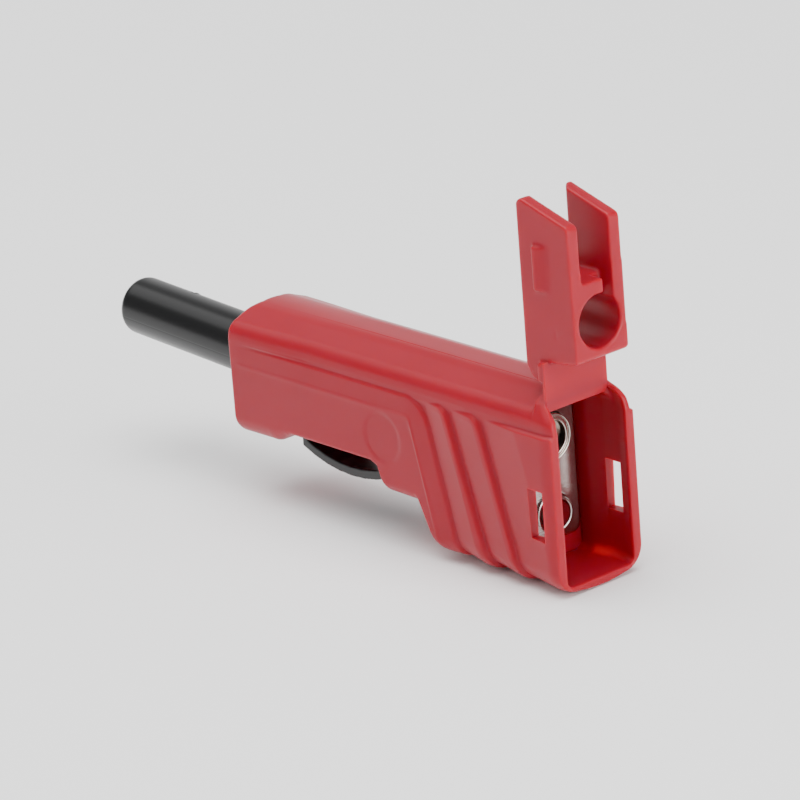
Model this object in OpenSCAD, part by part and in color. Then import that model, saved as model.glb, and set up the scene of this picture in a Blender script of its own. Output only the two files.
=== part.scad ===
// Safety banana plug in pistol form: sprung sleeve over the pin, stacking socket at the rear,
// and a rear cover on a film hinge, drawn folded open.
// Origin: the front face of the housing, on the plug's axis. -X points out of the front, +Z is up.

/* [Housing] */
// Length from the front face to the rear rim
body_len = 61.1; // [60.9:0.1:62]
// Half of the width over the grip panel and the rib crests
half_w = 7.35; // [7.2:0.05:7.8]
// Depth of the step round the grip panel and of the valley behind each rib's crest
groove_deep = 0.55; // [0.3:0.05:0.7]
// Height of the flat on top of the body
top_z = 8.0; // [7.8:0.1:8.4]
// Height of the underside of the front end
front_z = -9.0; // [-9.4:0.1:-8.8]
// Height of the underside of the middle block
middle_z = -10.5; // [-11:0.1:-10.2]
// Height of the underside of the grip, where it is lowest: at the rear rim
grip_z = -17.95; // [-18.2:0.05:-17.7]
// Lower edge of the side walls beside the release bow
side_z = -6.85; // [-7:0.05:-6.8]
// Thickness of the walls at the rear opening
wall = 1.45; // [1.2:0.05:1.5]

/* [Rear opening] */
// Height of the ceiling of the wiring chamber
ceiling_z = 5.8; // [5.6:0.1:6]
// Height of its floor
floor_z = -16.5; // [-16.7:0.05:-15.6]
// Depth of the wiring chamber, from the rear rim to the terminal plate
chamber_depth = 9.5; // [9:0.1:10]
// How far the top wall, where the hinge stands, ends before the rear rim
lip_back = 2.35; // [2.1:0.05:2.6]
// Width of each latch window
window_w = 2.7; // [2.4:0.1:2.9]
// Height of each latch window
window_h = 6.6; // [6.2:0.1:6.8]

/* [Plug] */
// Angle between the plug's axis and the long edges of the housing
plug_tilt = 2.87; // [2.5:0.01:3]
// Outside radius of the sliding sleeve
sleeve_r = 3.9; // [3.7:0.05:4]
// Length of sleeve that stands out of the housing
sleeve_out = 27.5; // [25:0.5:28.5]
// Travel of the sleeve
sleeve_travel = 16; // [14:0.5:16]
// Radius of the pin
pin_r = 2.0; // [1.98:0.01:2.02]
// Where the pin's nose ends, measured from the front face
pin_out = 23.5; // [23:0.5:25]

/* [Socket and terminal] */
// Inside radius of the socket that takes a second plug
socket_r = 2.02; // [2.01:0.01:2.05]
// Outside radius of the tube that holds it
tube_r = 3.15; // [3.1:0.05:3.2]
// Radius of the hole for the wire
wire_hole_r = 1.85; // [1.6:0.05:1.9]

/* [Cover] */
// Half of the width of the cover
cover_half_w = 4.35; // [4.2:0.05:4.5]
// Thickness of the two flanges of the cover
flange_t = 1.8; // [1.6:0.1:1.9]
// Radius of the bore that a stacked plug passes through
cover_bore_r = 3.4; // [3.3:0.05:3.5]
// Half of the width of the strap at the hinge
strap_half_w = 5.2; // [4.8:0.1:5.3]

/* [Release bow] */
// Thickness of the bow
bow_t = 1.25; // [1:0.05:1.4]
// Outside radius of the bow's curve
bow_r = 22; // [21:0.5:23]
// Travel of the bow when it is pressed
bow_travel = 0.8; // [0.5:0.1:0.8]

/* [Hidden] */
$fn = 96;
eps = 0.01;
over = 3;
running_gap = 0.05;
fit_gap = 0.04;
bow_gap = 0.3;
arc_steps = 8;
red = [0.72, 0.22, 0.25];
black = [0.13, 0.13, 0.13];
nickel = [0.78, 0.76, 0.74];
gold = [0.80, 0.68, 0.42];
steel = [0.62, 0.63, 0.65];

// The housing's section: the flat on top and the shoulder that rounds down to the side
base_half_w = half_w - groove_deep;
flat_half_w = 1.7;
shoulder_r = 2.45;
shoulder_z = 4.2;
front_end_x = 9.3;
grip_x = body_len - 25.9;
middle_x = [26.9, grip_x + 2.3];
heel_x = grip_x + 7.6;
front_round = 0.7;
rim_round = 0.2;
grip_round = 3.5;
grip_draft = 0.75;
crown_r = 21.7;

// The step above the panel with its bevel, and the valleys behind the three crests
groove_z = 3.45;
groove_h = 0.3;
groove_x = 1.4;
panel_z = 0.77;
bend_r = 3.2;
rib_ref_z = -9;
rib_x = [body_len - 20.7, body_len - 15.55, body_len - 9.85];
rib_lean = [14.5, 18, 17];
rib_run = [3.8, 5.0, 6.5];
rib_bevel = [[2.65, 0.2], [0.6, 0.08], [0.6, 0.08]];
rib_step = 0.45;
bottom_step = 0.45;
bottom_run = 4.8;

// The rear opening
mouth_half_w = half_w - wall;
deep_half_w = mouth_half_w - 0.4;
chamber_x = body_len - chamber_depth;
mouth_x = body_len - 5.85;
lip_x = body_len - lip_back;
collar_x = lip_x - 1.05;
collar_z = 8.25;
rim_low_z = 4.9;
rim_high_z = 7.0;
window_x = lip_x - 0.85;
window_z = -7.05;

// The bores inside, along the plug's axis and along the socket's axis
guide_end = 4;
chamber_r = 4.3;
sleeve_in = 6;
spring_wire_r = 0.3;
spring_rings = 10;
chamber_end = sleeve_in + sleeve_travel + 2 * spring_wire_r * spring_rings + 0.5;
carrier_r = 4.5;
carrier_drop = 1.6;
carrier_front_t = 2.5;
pin_flange_r = 3.4;
pin_flange_t = 1.6;
tail_r = 1.2;
flange_x = chamber_end + carrier_front_t;
tube_x = flange_x + pin_flange_t + 0.4;
plate_t = 1.4;
tube_out = 0.7;
tube_end = chamber_x + plate_t + tube_out;
tube_wall = 0.55;
tube_floor = 1.5;
plate_half_w = 4.35;
plate_z = [-13.6, 5.0];
wire_hole_z = -10;
collar_out = 1.1;
collar_r = 2.4;

// The sleeve and its spring
sleeve_bore_r = 2.8;
sleeve_flange_r = chamber_r - 0.15;
sleeve_flange_x = guide_end + 0.3;
sleeve_land_x = 0.35;
sleeve_neck_r = sleeve_r - 0.2;
spring_r = 3.3;

// The pin and its cage
shank_r = 2.3;
shoulder_x = -4;
cage_x = [-20.2, -8.6];
core_r = 1.35;
cage_t = 0.22;
cage_slots = 8;

// The film hinge: the cover turns about this line
hinge_x = lip_x + 0.05;
hinge_z = 8.65;
film_h = 2 * (hinge_z - collar_z);
film_t = 0.4;
strap_z = hinge_z + film_h / 2;
strap_t = 1.3;

// The cover as it stands open
cover_x = [lip_x - 4.1, lip_x + 4.9];
cover_top = [32.4, 30.2];
cover_low = [11.1, 12.6];
far_chamfer = [1.75, 1.6];
ledge_z = 22.5;
bore_z = 2 * hinge_z;
bump_x = lip_x - 0.1;
bump_z = 24.1;
bump_w = 2.3;
bump_h = 5.7;
bump_out = 0.65;

// The release bow and its pocket
bow_x = 20.3;
bow_low_z = -11.1;
bow_half_l = 9.4;
bow_half_w = 5.0;
leg_t = 1.0;
toe_l = 1.3;
toe_y = 3.9;
ledge_t = 0.55;
pocket_ceiling_z = side_z + ledge_t;
toe_z = [pocket_ceiling_z + bow_gap, pocket_ceiling_z + bow_gap + 0.7];
toe_room_z = toe_z[1] + bow_travel + 0.1;

// Points on an arc about (cx, cy), from angle a0 to a1
function arc(cx, cy, r, a0, a1) =
    [for (i = [0:arc_steps]) let (a = a0 + (a1 - a0) * i / arc_steps) [cx + r * cos(a), cy + r * sin(a)]];

// An outline drawn as (x, z) and made w thick, centred on the plane y = 0
module slab_xz(w) {
    translate([0, w / 2, 0]) rotate([90, 0, 0]) linear_extrude(height = w) children();
}

// An outline drawn as (y, z) and run along x from x0 to x1
module run_yz(x0, x1) {
    translate([x0, 0, 0]) rotate([90, 0, 90]) linear_extrude(height = x1 - x0) children();
}

// A round bar along x, about the line y = 0 at height z
module bar_x(r, x0, x1, z = 0) {
    translate([x0, 0, z]) rotate([0, 90, 0]) cylinder(r = r, h = x1 - x0);
}

// A turned shape along x, from its outline of (x, radius) points
module turned(points) {
    rotate([0, 90, 0]) rotate_extrude() polygon([for (p = points) [p[1], p[0]]]);
}

// What lies along the plug's axis, which falls towards the rear
module on_plug_axis() {
    rotate([0, plug_tilt, 0]) children();
}

module both_sides() {
    children();
    mirror([0, 1, 0]) children();
}

// The height of the underside of the grip, which sinks towards the rear
function under_z(x) = grip_z + grip_draft * (body_len - x) / (body_len - heel_x);

// The cross-section of the body: flat top, shoulders, straight sides, rounded lower corners, and
// an underside that is flat, or crowned by an arc of crown_r
module body_section(low_z, corner_r, crowned = false) {
    reach = asin((half_w - corner_r) / crown_r);
    bend_z = low_z + corner_r + (crowned ? crown_r * (1 - cos(reach)) : 0);
    right = concat(
        [[flat_half_w, top_z], [flat_half_w + 1.3, top_z - 0.45]],
        [for (p = arc(base_half_w - shoulder_r, shoulder_z, shoulder_r, 72, 20)) p],
        [[base_half_w, shoulder_z], [base_half_w, groove_z + groove_h], [half_w, groove_z]],
        arc(half_w - corner_r, bend_z, corner_r, 0, -90),
        crowned ? arc(0, low_z + crown_r, crown_r, reach - 90, -90) : []);
    left = [for (i = [len(right) - 1:-1:0]) [-right[i][0], right[i][1]]];
    polygon(concat(right, left));
}

// The outline of the body seen from the side
module side_outline() {
    polygon(concat(
        arc(front_round, top_z - front_round, front_round, 180, 90),
        [[body_len, top_z], [body_len, grip_z]],
        [[heel_x, under_z(heel_x)], [heel_x - 2, under_z(heel_x) + 0.3]],
        arc(heel_x - 2.4, under_z(heel_x) + 2.2, 1.9, -90, -158),
        [[grip_x + 1.3, middle_z - 0.9], [grip_x + 0.3, middle_z]],
        arc(middle_x[0] + 3.3, middle_z + 1.4, 1.4, -90, -170),
        [[middle_x[0] + 1.5, side_z - 0.9], [middle_x[0], side_z]],
        [[front_end_x + 0.3, side_z]],
        arc(front_end_x - 2, front_z + 2.15, 2, 0, -90),
        arc(1.8, front_z + 1.8, 1.8, -90, -180)));
}

// The outline of the body seen from above, with rounded ends
module plan_outline() {
    front = arc(front_round, half_w - front_round, front_round, 180, 90);
    rear = arc(body_len - rim_round, half_w - rim_round, rim_round, 90, 0);
    right = concat(front, rear);
    polygon(concat(right, [for (i = [len(right) - 1:-1:0]) [right[i][0], -right[i][1]]]));
}

// The solid body before anything is cut out of it
module body_solid() {
    intersection() {
        union() {
            run_yz(0, middle_x[1]) body_section(front_z, 2.5);
            run_yz(middle_x[0], middle_x[1]) body_section(middle_z, 2);
            run_yz(grip_x, body_len) body_section(grip_z, grip_round, true);
        }
        slab_xz(4 * half_w) side_outline();
        translate([0, 0, grip_z - over]) linear_extrude(height = 40) plan_outline();
    }
    rear_collar();
}

// The raised end of the top wall, which carries the hinge
module rear_collar() {
    half = [[3.2, collar_z], [4.5, 7.55], [5.55, 7.05], [6.4, 6.0], [6.75, 4.3], [6.75, 3]];
    run_yz(collar_x, body_len) polygon(concat(half,
        [for (i = [len(half) - 1:-1:0]) [-half[i][0], half[i][1]]]));
}

// The step above the grip panel: a slow bevel, then a short drop to the body's width
module panel_groove() {
    run_yz(groove_x, rib_x[0] - 3.2) polygon([
        [base_half_w, groove_z + groove_h / 2], [base_half_w, groove_z + 2 * groove_h],
        [half_w + 1, groove_z + 2 * groove_h], [half_w + 1, panel_z - 0.1], [half_w, panel_z],
        [half_w - rib_bevel[0][1], groove_z - groove_h / 2]]);
}

// What rounds the panel's outline where the step turns down along the first crest
module panel_corner() {
    lean = rib_lean[0];
    reach = bend_r * tan(45 - lean / 2);
    kx = rib_x[0] - (groove_z - rib_ref_z) * tan(lean);
    edge = 0.4;
    translate([0, half_w + 1, 0]) rotate([90, 0, 0]) linear_extrude(height = 1 + groove_deep)
        polygon(concat(
            arc(kx - reach, groove_z - bend_r, bend_r, 90, lean),
            [[kx + reach * sin(lean) + edge, groove_z - reach * cos(lean)],
             [kx + edge, groove_z + edge], [kx - reach, groove_z + edge]]));
}

// The valley behind one crest: a bevel, a steep drop, then a slow rise to the next crest
module rib_valley(i) {
    bevel = rib_bevel[i];
    translate([rib_x[i], 0, rib_ref_z]) rotate([0, -rib_lean[i], 0])
        translate([0, 0, -8.5]) linear_extrude(height = 23.5)
            polygon([[-bevel[0], half_w], [0, half_w - bevel[1]], [rib_step, base_half_w],
                     [rib_step + rib_run[i], half_w], [rib_step + rib_run[i], half_w + 1],
                     [-bevel[0], half_w + 1]]);
}

module rib_valleys() {
    intersection() {
        union() for (i = [0:2]) rib_valley(i);
        translate([20, 0, grip_z - over]) cube([40, 20, shoulder_z + 0.5 - grip_z + over]);
    }
}

// Where the ribs run across the underside of the grip
module bottom_valleys() {
    for (i = [0:2]) {
        crest = rib_x[i] - (under_z(rib_x[i]) - rib_ref_z) * tan(rib_lean[i]) + 0.3;
        foot = crest + rib_step;
        slab_xz(4 * half_w) polygon([
            [crest, under_z(crest)], [foot, under_z(foot) + bottom_step],
            [foot + bottom_run, under_z(foot + bottom_run)],
            [foot + bottom_run, grip_z - 1], [crest, grip_z - 1]]);
    }
}

// The room behind the contacts, narrower in its deeper part
module wiring_chamber() {
    r = 1;
    for (part = [[chamber_x, mouth_x + eps, deep_half_w], [mouth_x, body_len + over, mouth_half_w]])
        run_yz(part[0], part[1]) polygon(concat(
            arc(part[2] - r, floor_z + r, r, -90, 0),
            [[part[2], 4.2], [part[2] - 1.5, ceiling_z]],
            [[-part[2] + 1.5, ceiling_z], [-part[2], 4.2]],
            arc(-part[2] + r, floor_z + r, r, 180, 270)));
}

// What is cut away above the rear opening, so that the cover can fold over it
module rear_notch() {
    slab_xz(4 * half_w) polygon([
        [lip_x, rim_high_z], [lip_x + 1.25, (rim_high_z + rim_low_z) / 2 + 0.35],
        [body_len + eps, rim_low_z], [body_len + over, rim_low_z],
        [body_len + over, 20], [lip_x, 20]]);
    translate([lip_x, -mouth_half_w + 0.4, 0])
        cube([over * 2, 2 * mouth_half_w - 0.8, 20]);
}

// The pocket of the release bow, open below, with room for its toes over four ledges
module bow_pocket() {
    half_l = bow_half_l + bow_gap;
    half_b = bow_half_w + bow_gap;
    translate([bow_x - half_l, -half_b, grip_z])
        cube([2 * half_l, 2 * half_b, pocket_ceiling_z - grip_z]);
    toe_room = half_l + toe_l;
    both_sides() {
        translate([bow_x - toe_room, toe_y - bow_gap, pocket_ceiling_z])
            cube([2 * toe_room, half_b - toe_y + bow_gap, toe_room_z - pocket_ceiling_z]);
    }
}

// The rounded slot shape that the carrier is pressed into
module carrier_shape(r) {
    for (z = [0, -carrier_drop]) translate([0, z]) circle(r = r);
    translate([-r, -carrier_drop]) square([2 * r, carrier_drop]);
}

module housing() {
    color(red) difference() {
        body_solid();
        both_sides() {
            panel_groove();
            panel_corner();
            rib_valleys();
        }
        bottom_valleys();
        wiring_chamber();
        rear_notch();
        bow_pocket();
        on_plug_axis() {
            bar_x(sleeve_r + running_gap, -over, guide_end + eps);
            bar_x(chamber_r, guide_end, chamber_end + 0.4);
        }
        run_yz(chamber_end, chamber_x + eps) carrier_shape(carrier_r);
        translate([window_x - window_w / 2, -2 * half_w, window_z - window_h / 2])
            cube([window_w, 4 * half_w, window_h]);
    }
}

// The cover as it stands open: outline of its flanges seen from the side
module cover_outline() {
    polygon(concat(
        arc(cover_x[0] + 1, cover_top[0] - 1, 1, 180, 90),
        arc(cover_x[1] - 0.8, cover_top[1] - 0.8, 0.8, 80, 0),
        arc(cover_x[1] - 0.3, cover_low[1] + 0.6, 0.6, 0, -80),
        [[lip_x, cover_low[0] + 0.9], [lip_x, strap_z], [lip_x - strap_t, strap_z]],
        [[cover_x[0] + 1.75, strap_z + 0.25], [cover_x[0] + 0.95, strap_z + 0.65],
         [cover_x[0], cover_low[0]]]));
}

module latch_bump() {
    translate([bump_x, cover_half_w, bump_z - bump_h / 2]) linear_extrude(height = bump_h)
        polygon([[-bump_w / 2, -0.5], [-bump_w / 2, bump_out], [-bump_w / 2 + 0.5, bump_out],
                 [bump_w / 2, 0.05], [bump_w / 2, -0.5]]);
}

module cover() {
    inner = cover_half_w - flange_t;
    color(red) difference() {
        union() {
            slab_xz(2 * cover_half_w) cover_outline();
            translate([lip_x - strap_t, -strap_half_w, strap_z])
                cube([strap_t, 2 * strap_half_w, cover_low[1] - strap_z - 0.6]);
            both_sides() latch_bump();
        }
        translate([cover_x[0] - over, -inner, ledge_z]) cube([20, 2 * inner, 20]);
        bar_x(cover_bore_r, cover_x[0] - over, cover_x[1] + over, bore_z);
        translate([cover_x[0] - eps, 0, bore_z]) rotate([0, 90, 0])
            cylinder(r1 = cover_bore_r + 0.7, r2 = cover_bore_r, h = 2.2);
        translate([cover_x[1] - 2.2, 0.9, bore_z + 2]) cube([over, 1.65, ledge_z - bore_z]);
        translate([0, 0, ledge_z]) linear_extrude(height = 20) polygon([
            [cover_x[0] - eps, inner - eps], [cover_x[0] + far_chamfer[0], inner - eps],
            [cover_x[0] - eps, inner + far_chamfer[1]]]);
    }
}

module hinge_film() {
    color(red) translate([lip_x - film_t, -strap_half_w + 0.3, collar_z])
        cube([film_t, 2 * strap_half_w - 0.6, film_h]);
}

module safety_sleeve() {
    color(black) on_plug_axis() difference() {
        turned(concat(
            [[-sleeve_out, sleeve_bore_r]],
            arc(-sleeve_out + 1, sleeve_r - 1, 1, 180, 90),
            [[-sleeve_land_x, sleeve_r], [-sleeve_land_x + 0.2, sleeve_neck_r],
             [sleeve_flange_x, sleeve_neck_r], [sleeve_flange_x, sleeve_flange_r],
             [sleeve_in, sleeve_flange_r], [sleeve_in, sleeve_bore_r]]));
        bar_x(sleeve_bore_r, -sleeve_out - over, sleeve_in + over);
    }
}

// A ground coil drawn as closed rings, one per turn, joined by short bars
module return_spring() {
    x0 = sleeve_in + 0.3 + spring_wire_r;
    x1 = chamber_end - 0.1 - spring_wire_r;
    pitch = (x1 - x0) / (spring_rings - 1);
    color(steel) on_plug_axis() for (i = [0:spring_rings - 1]) {
        translate([x0 + i * pitch, 0, 0]) rotate([0, 90, 0])
            rotate_extrude($fn = 48) translate([spring_r, 0]) circle(r = spring_wire_r, $fn = 16);
        if (i < spring_rings - 1)
            rotate([i * 180, 0, 0]) translate([x0 + i * pitch, 0, spring_r]) rotate([0, 90, 0])
                cylinder(r = spring_wire_r * 0.7, h = pitch, $fn = 16);
    }
}

module contact_carrier() {
    color(black) difference() {
        run_yz(chamber_end + 0.5, chamber_x) carrier_shape(carrier_r - fit_gap);
        on_plug_axis() {
            bar_x(shank_r + fit_gap, chamber_end - over, flange_x + over);
            bar_x(pin_flange_r + fit_gap, flange_x, tube_x + 0.3);
        }
        bar_x(tube_r + fit_gap, tube_x - 0.1, chamber_x + over);
    }
}

module plug_pin() {
    color(nickel) on_plug_axis() turned(concat(
        [[-pin_out, 0], [-pin_out, 0.6]],
        arc(-pin_out + 1.3, pin_r - 1.4, 1.3, 150, 90),
        [[cage_x[0] - 0.4, pin_r - 0.1], [cage_x[0] - 0.1, core_r], [cage_x[1] + 0.1, core_r],
         [cage_x[1] + 0.1, pin_r], [shoulder_x, pin_r], [shoulder_x + 0.3, shank_r],
         [flange_x, shank_r], [flange_x, pin_flange_r], [tube_x - 0.4, pin_flange_r],
         [tube_x - 0.4, tail_r], [tube_x + tube_floor - 0.2, tail_r],
         [tube_x + tube_floor - 0.2, 0]]));
}

// Sprung leaves between two bands, bowed out to the size of the pin
module contact_cage() {
    band = 1.4;
    mid = (cage_x[0] + cage_x[1]) / 2;
    inner = core_r + 0.03;
    color(gold) on_plug_axis() difference() {
        turned([[cage_x[0], inner], [cage_x[0], inner + cage_t],
                [cage_x[0] + band, inner + cage_t], [mid - 2.6, pin_r - 0.08], [mid, pin_r],
                [mid + 2.6, pin_r - 0.08], [cage_x[1] - band, inner + cage_t],
                [cage_x[1], inner + cage_t], [cage_x[1], inner], [cage_x[1] - band, inner],
                [mid + 2.6, pin_r - 0.08 - cage_t], [mid, pin_r - cage_t],
                [mid - 2.6, pin_r - 0.08 - cage_t], [cage_x[0] + band, inner]]);
        for (i = [0:cage_slots / 2 - 1]) rotate([i * 360 / cage_slots, 0, 0])
            translate([cage_x[0] + band, -0.25, -over])
                cube([cage_x[1] - cage_x[0] - 2 * band, 0.5, 2 * over]);
    }
}

module release_bow() {
    cz = bow_low_z + bow_r;
    reach = asin(bow_half_l / bow_r);
    inner = asin(bow_half_l / (bow_r - bow_t));
    color(black) {
        slab_xz(2 * bow_half_w) polygon(concat(
            arc(bow_x, cz, bow_r, -90 - reach, -90 + reach),
            arc(bow_x, cz, bow_r - bow_t, -90 + inner, -90 - inner)));
        both_sides() for (side = [-1, 1]) {
            x = bow_x + side * bow_half_l;
            translate([min(x, x - side * leg_t), toe_y, cz - bow_r * cos(reach) + 0.6])
                cube([leg_t, bow_half_w - toe_y, toe_z[1] - cz + bow_r * cos(reach) - 0.6]);
            translate([min(x + side * toe_l, x - side * leg_t), toe_y, toe_z[0]])
                cube([toe_l + leg_t, bow_half_w - toe_y, toe_z[1] - toe_z[0]]);
        }
    }
}

// The tube of the rear socket: a cup whose front wall is riveted to the pin
module socket_tube() {
    color(nickel) difference() {
        bar_x(tube_r, tube_x, tube_end);
        bar_x(tube_r - tube_wall, tube_x + tube_floor, tube_end + over);
        on_plug_axis() bar_x(tail_r + fit_gap, tube_x - over, tube_x + tube_floor + 0.1);
    }
}

// The bush inside the tube, slit four times so that it grips a plug
module socket_contact() {
    x0 = tube_x + tube_floor + 2;
    x1 = tube_end - 2.2;
    color(gold) difference() {
        bar_x(tube_r - tube_wall - fit_gap, x0, x1);
        bar_x(socket_r, x0 - over, x1 + over);
        for (i = [0, 1]) rotate([45 + i * 90, 0, 0])
            translate([x0 + 2, -0.2, -over]) cube([x1 - x0 - 4, 0.4, 2 * over]);
    }
}

// The plate on the tube, with a drawn collar round the hole for the wire
module terminal_plate() {
    face_x = chamber_x + plate_t;
    color(nickel) difference() {
        union() {
            run_yz(chamber_x, face_x) polygon(concat(
                arc(plate_half_w - 1.2, plate_z[1] - 1.2, 1.2, 0, 90),
                arc(-plate_half_w + 1.2, plate_z[1] - 1.2, 1.2, 90, 180),
                arc(-plate_half_w + 1.2, plate_z[0] + 1.2, 1.2, 180, 270),
                arc(plate_half_w - 1.2, plate_z[0] + 1.2, 1.2, 270, 360)));
            bar_x(collar_r, chamber_x, face_x + collar_out, wire_hole_z);
        }
        bar_x(tube_r + fit_gap, chamber_x - over, face_x + over);
        bar_x(wire_hole_r, chamber_x - over, face_x + over, wire_hole_z);
    }
}

housing();
cover();
hinge_film();
safety_sleeve();
return_spring();
contact_carrier();
plug_pin();
contact_cage();
release_bow();
socket_tube();
socket_contact();
terminal_plate();
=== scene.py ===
import bmesh
import bpy
import numpy as np
from mathutils import Matrix, Vector


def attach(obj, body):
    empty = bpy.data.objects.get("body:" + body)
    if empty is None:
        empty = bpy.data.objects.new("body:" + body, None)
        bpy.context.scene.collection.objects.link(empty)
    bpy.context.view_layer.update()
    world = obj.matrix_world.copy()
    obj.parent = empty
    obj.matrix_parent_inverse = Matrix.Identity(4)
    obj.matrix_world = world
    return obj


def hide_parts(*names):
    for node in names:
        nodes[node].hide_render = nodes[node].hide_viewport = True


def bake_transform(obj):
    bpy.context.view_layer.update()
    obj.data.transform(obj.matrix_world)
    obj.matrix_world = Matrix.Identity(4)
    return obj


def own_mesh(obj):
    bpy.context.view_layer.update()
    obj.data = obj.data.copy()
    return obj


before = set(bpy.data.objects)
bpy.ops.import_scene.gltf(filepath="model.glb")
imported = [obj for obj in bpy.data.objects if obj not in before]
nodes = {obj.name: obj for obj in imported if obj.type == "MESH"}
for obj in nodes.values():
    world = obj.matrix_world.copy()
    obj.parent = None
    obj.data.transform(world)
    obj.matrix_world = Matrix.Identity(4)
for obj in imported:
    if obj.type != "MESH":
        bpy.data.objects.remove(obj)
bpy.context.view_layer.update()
print("frame loaded:", len(nodes), "solids")

mm = 0.001  # every piece is worked out in millimetres and put into the scene in metres


# small tools for shapes

def smooth(v, lo, hi):
    # 0 below lo, 1 above hi, and an S between them
    t = np.clip((v - lo) / (hi - lo), 0, 1)
    return t * t * (3 - 2 * t)


def spread(points, count):
    # count points at even steps along the broken line through the points
    points = np.asarray(points, float)
    run = np.r_[0, np.cumsum(np.linalg.norm(np.diff(points, axis=0), axis=1))]
    at = np.linspace(0, run[-1], count)
    return np.stack([np.interp(at, run, points[:, k]) for k in range(points.shape[1])], 1)


def arcPoints(cx, cy, radius, start, stop, count=16):
    # points on a circle's arc between two angles in degrees
    a = np.radians(np.linspace(start, stop, count))
    return np.stack([cx + radius * np.cos(a), cy + radius * np.sin(a)], 1)


def putMesh(name, points, faces, mat, body, replaced=(), sharp=40.0):
    # points in millimetres; the faces are turned outwards if the volume comes out negative
    points = np.asarray(points, float)
    mesh = bpy.data.meshes.new(name)
    quads = [f for f in faces if len(f) == 4]
    q = np.array(quads) if quads else np.zeros((0, 4), int)
    a, b, c, d = (points[q[:, k]] for k in range(4)) if len(q) else (np.zeros((0, 3)),) * 4
    volume = (np.cross(a, b) * c).sum() + (np.cross(a, c) * d).sum()
    if volume < 0:
        faces = [f[::-1] for f in faces]
    mesh.from_pydata((points * mm).tolist(), [], [list(map(int, f)) for f in faces])
    mesh.polygons.foreach_set("use_smooth", np.ones(len(mesh.polygons), bool))
    mesh.set_sharp_from_angle(angle=np.radians(sharp))
    mesh.materials.append(mat)
    obj = bpy.data.objects.new(name, mesh)
    bpy.context.scene.collection.objects.link(obj)
    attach(obj, body)
    if replaced:
        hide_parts(*replaced)
    return obj


def ringFaces(rings, around, close=True, keep=None, loop=False):
    # quads between neighbouring rings of a grid of rings x around, with a cap on each end, or
    # from the last ring back to the first
    i, j = np.meshgrid(np.arange(rings if loop else rings - 1), np.arange(around), indexing="ij")
    up, on = (i + 1) % rings, (j + 1) % around
    quads = np.stack([i * around + j, i * around + on, up * around + on, up * around + j], -1)
    quads = quads[keep] if keep is not None else quads.reshape(-1, 4)
    faces = quads.tolist()
    if close:
        faces.append(list(range(around))[::-1])
        faces.append(list(range((rings - 1) * around, rings * around)))
    return faces


def turnedPiece(name, profile, around, mat, body, replaced=(), sharp=40.0, tilt=0.0,
                relief=None):
    # a closed profile of (x, radius) turned round the x axis, then tilted about y
    profile = np.asarray(profile, float)
    turn = np.linspace(0, 2 * np.pi, around, endpoint=False)
    radius = np.repeat(profile[:, 1:2], around, 1)
    along = np.repeat(profile[:, :1], around, 1)
    if relief is not None:
        radius = radius + relief(along, turn[None, :])
    points = np.stack([along, -radius * np.sin(turn), radius * np.cos(turn)], -1)
    t = np.radians(tilt)
    points = np.stack([points[..., 0] * np.cos(t) + points[..., 2] * np.sin(t), points[..., 1],
                       -points[..., 0] * np.sin(t) + points[..., 2] * np.cos(t)], -1)
    faces = ringFaces(len(profile), around, close=False, loop=True)
    return putMesh(name, points.reshape(-1, 3), faces, mat, body, replaced, sharp)


def mouldedCopy(nodeName, name, mat, body, voxel, passes, marks=()):
    # the node's own solid with every edge rounded as in a mould: a fine even mesh, then smoothed.
    # Marks are boxes (low corner, high corner) in millimetres that are cut out first.
    mesh = nodes[nodeName].data.copy()
    mesh.name = name
    mesh.transform(nodes[nodeName].matrix_world)
    if mesh.has_custom_normals:
        mesh.attributes.remove(mesh.attributes["custom_normal"])
    mesh.materials.clear()
    obj = bpy.data.objects.new(name, mesh)
    bpy.context.scene.collection.objects.link(obj)
    cutters = []
    for lo, hi in marks:
        cut = bpy.data.meshes.new("mark")
        block = bmesh.new()
        bmesh.ops.create_cube(block, size=1.0)
        size = (np.array(hi) - np.array(lo)) * mm
        middle = (np.array(hi) + np.array(lo)) / 2 * mm
        block.to_mesh(cut)
        block.free()
        corners = np.zeros((len(cut.vertices), 3))
        cut.vertices.foreach_get("co", corners.ravel())
        cut.vertices.foreach_set("co", (corners * size + middle).ravel())
        cutter = bpy.data.objects.new("mark", cut)
        bpy.context.scene.collection.objects.link(cutter)
        cutters.append(cutter)
        cutOut = obj.modifiers.new("mark", "BOOLEAN")
        cutOut.object = cutter
    even = obj.modifiers.new("even", "REMESH")
    even.mode = "VOXEL"
    even.voxel_size = voxel * mm
    soft = obj.modifiers.new("soft", "SMOOTH")
    soft.iterations = passes
    bpy.context.view_layer.update()
    done = bpy.data.meshes.new_from_object(obj.evaluated_get(bpy.context.evaluated_depsgraph_get()))
    obj.modifiers.clear()
    obj.data = done
    for cutter in cutters:
        bpy.data.objects.remove(cutter)
    done.name = name
    done.polygons.foreach_set("use_smooth", np.ones(len(done.polygons), bool))
    done.materials.clear()
    done.materials.append(mat)
    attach(obj, body)
    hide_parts(nodeName)
    print(name, len(done.polygons), "faces")
    return obj


# finishes

def linearColour(hexCode, alpha=1.0):
    # sRGB hex to the linear values that the shaders use
    s = np.array([int(hexCode[i:i + 2], 16) for i in (1, 3, 5)]) / 255
    lin = np.where(s <= 0.04045, s / 12.92, ((s + 0.055) / 1.055) ** 2.4)
    return (*map(float, lin), alpha)


def addNode(mat, kind, links=(), **settings):
    # one node with its settings; links are (socket of this node, socket of another) pairs
    node = mat.node_tree.nodes.new(kind)
    for key, value in settings.items():
        if hasattr(node, key) and key not in node.inputs:
            setattr(node, key, value)
        else:
            node.inputs[key.replace("_", " ") if key not in node.inputs else key].default_value = value
    for here, there in links:
        mat.node_tree.links.new(there, node.inputs[here])
    return node


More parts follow.
